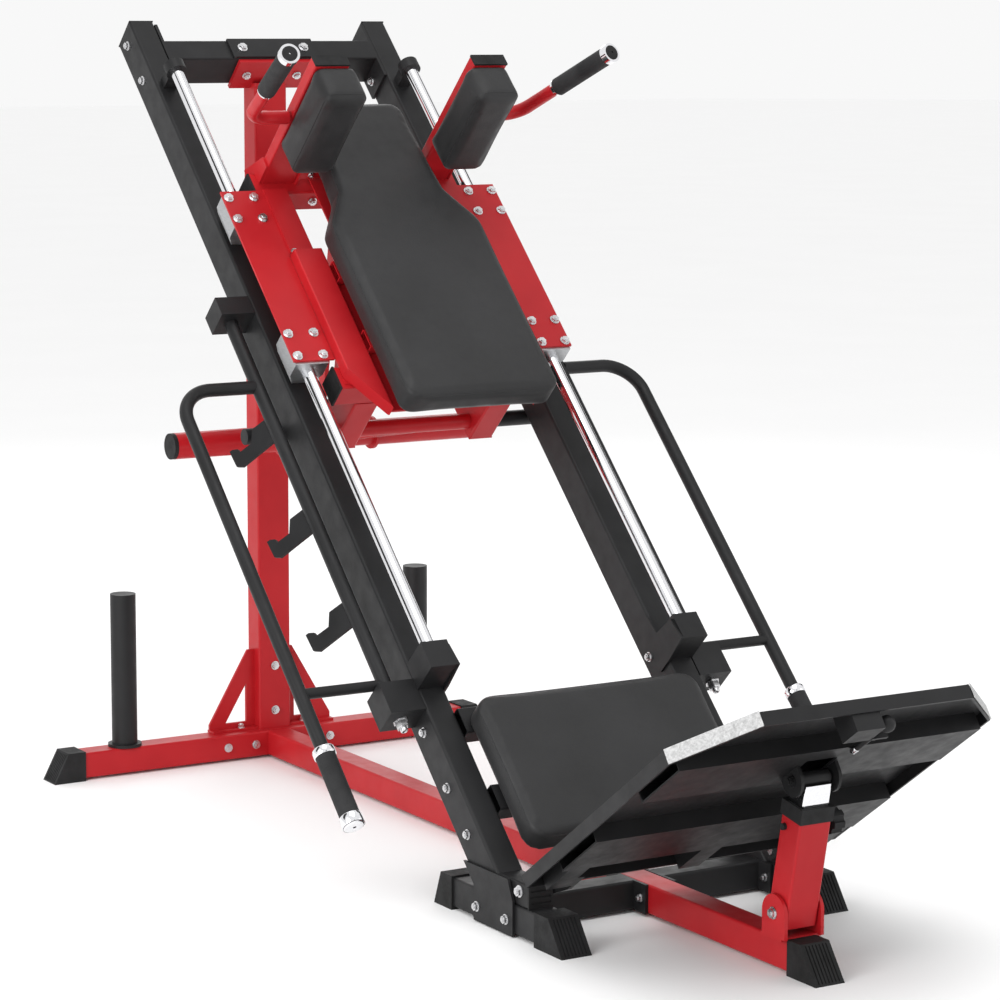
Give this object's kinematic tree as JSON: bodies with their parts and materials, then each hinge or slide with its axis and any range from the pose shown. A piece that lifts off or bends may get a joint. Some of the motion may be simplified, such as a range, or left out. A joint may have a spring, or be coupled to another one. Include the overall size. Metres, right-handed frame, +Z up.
{
  "type": "leg press machine",
  "caption": "Plate-loaded leg press with an inclined sliding carriage on two guide rods, shoulder pads, swing-out safety hooks and a hinged footplate on a telescopic leg.",
  "frame": {"origin": "floor level below the centre of the machine's bounding box", "axes": "+X to the right-hand side, +Y from the footplate towards the rear column, +Z up"},
  "size_m": [0.998, 2.0478, 1.4651],
  "materials": {
    "red_powder_coat": "satin",
    "black_powder_coat": "satin",
    "bare_aluminium": "satin",
    "zinc_fasteners": "satin",
    "chromed_steel": "polished",
    "black_rubber": "matte",
    "black_upholstery": "satin"
  },
  "bodies": {
    "frame": {"base_beam": "red_powder_coat", "rear_beam": "red_powder_coat", "column": "red_powder_coat", "column_gussets": "red_powder_coat", "centre_feet": "black_rubber", "side_feet": "black_rubber", "side_base_left": "black_powder_coat", "side_base_right": "black_powder_coat", "front_crossbar_left": "black_powder_coat", "front_crossbar_right": "black_powder_coat", "rail_left": "black_powder_coat", "rail_right": "black_powder_coat", "frame_end_caps": "black_rubber", "rail_shoes": "black_powder_coat", "hinge_blocks": "black_powder_coat", "top_crossbar": "black_powder_coat", "rod_left": "chromed_steel", "rod_right": "chromed_steel", "rod_collars": "black_powder_coat", "rod_stops": "black_powder_coat", "storage_post_left": "black_powder_coat", "storage_post_right": "black_powder_coat", "seat_tubes": "black_powder_coat", "seat_pad": "black_upholstery", "safety_blocks": "black_powder_coat", "leg_base_clevis": "red_powder_coat", "frame_bolts": "zinc_fasteners"},
    "carriage": {"slide_plates": "red_powder_coat", "bearing_blocks": "bare_aluminium", "carriage_channels": "red_powder_coat", "carriage_upper_cross": "red_powder_coat", "carriage_lower_cross": "red_powder_coat", "carriage_legs": "red_powder_coat", "carriage_end_caps": "black_rubber", "back_panel": "red_powder_coat", "back_pad": "black_upholstery", "shoulder_uprights": "red_powder_coat", "shoulder_pads": "black_upholstery", "shoulder_handles": "red_powder_coat", "shoulder_grips": "black_rubber", "shoulder_caps": "chromed_steel", "weight_horn_bar": "red_powder_coat", "lock_pegs": "black_powder_coat", "carriage_bolts": "zinc_fasteners"},
    "safety_left": {"safety_bar_left": "black_powder_coat", "safety_handle_left": "black_powder_coat", "safety_grip_left": "black_rubber"},
    "safety_right": {"safety_bar_right": "black_powder_coat", "safety_handle_right": "black_powder_coat", "safety_grip_right": "black_rubber"},
    "footplate": {"foot_plate": "black_powder_coat", "foot_plate_frame": "black_powder_coat", "foot_plate_clevis": "black_powder_coat", "latch_block": "black_powder_coat"},
    "latch": {"latch_lever": "black_powder_coat"},
    "leg": {"leg_outer_tube": "red_powder_coat", "leg_collar": "black_rubber"},
    "leg_slide": {"leg_inner_tube": "chromed_steel", "leg_head_sleeve": "black_powder_coat"},
    "leg_knob": {"leg_star_knob": "black_rubber"}
  },
  "joints": [
    {"name": "carriage_slide", "type": "slide", "parent": "frame", "child": "carriage", "axis": [0, 0.7071, 0.7071], "range_m": [-0.603, 0.26]},
    {"name": "safety_left_hinge", "type": "hinge", "parent": "frame", "child": "safety_left", "pos_m": [-0.319, 0.1599, 0.61589], "axis": [0, -0.7071, -0.7071], "range_deg": [-10, 31]},
    {"name": "safety_right_hinge", "type": "hinge", "parent": "frame", "child": "safety_right", "pos_m": [0.319, 0.1599, 0.61589], "axis": [0, 0.7071, 0.7071], "range_deg": [-10, 31]},
    {"name": "footplate_hinge", "type": "hinge", "parent": "frame", "child": "footplate", "pos_m": [0, -0.468, 0.08], "axis": [1, 0, 0], "range_deg": [-6, 3]},
    {"name": "latch_pull", "type": "slide", "parent": "footplate", "child": "latch", "axis": [0, -0.8161, 0.5779], "range_m": [0, 0.01], "stiffness_N_per_m": 400, "springref_m": -0.005},
    {"name": "leg_hinge", "type": "hinge", "parent": "frame", "child": "leg", "pos_m": [0, -0.83, 0.097], "axis": [1, 0, 0], "range_deg": [-9, 5]},
    {"name": "leg_slide_joint", "type": "slide", "parent": "leg", "child": "leg_slide", "axis": [0, -0.1948, 0.9809], "range_m": [-0.02, 0.038]},
    {"name": "leg_knob_turn", "type": "hinge", "parent": "leg", "child": "leg_knob", "pos_m": [0.05, -0.85824, 0.23922], "axis": [1, 0, 0], "continuous": true}
  ],
  "couplings": [
    {"joint": "leg_hinge", "follows": "footplate_hinge", "ratio": 1.3912},
    {"joint": "leg_slide_joint", "follows": "footplate_hinge", "m_per_rad": -0.35176}
  ]
}
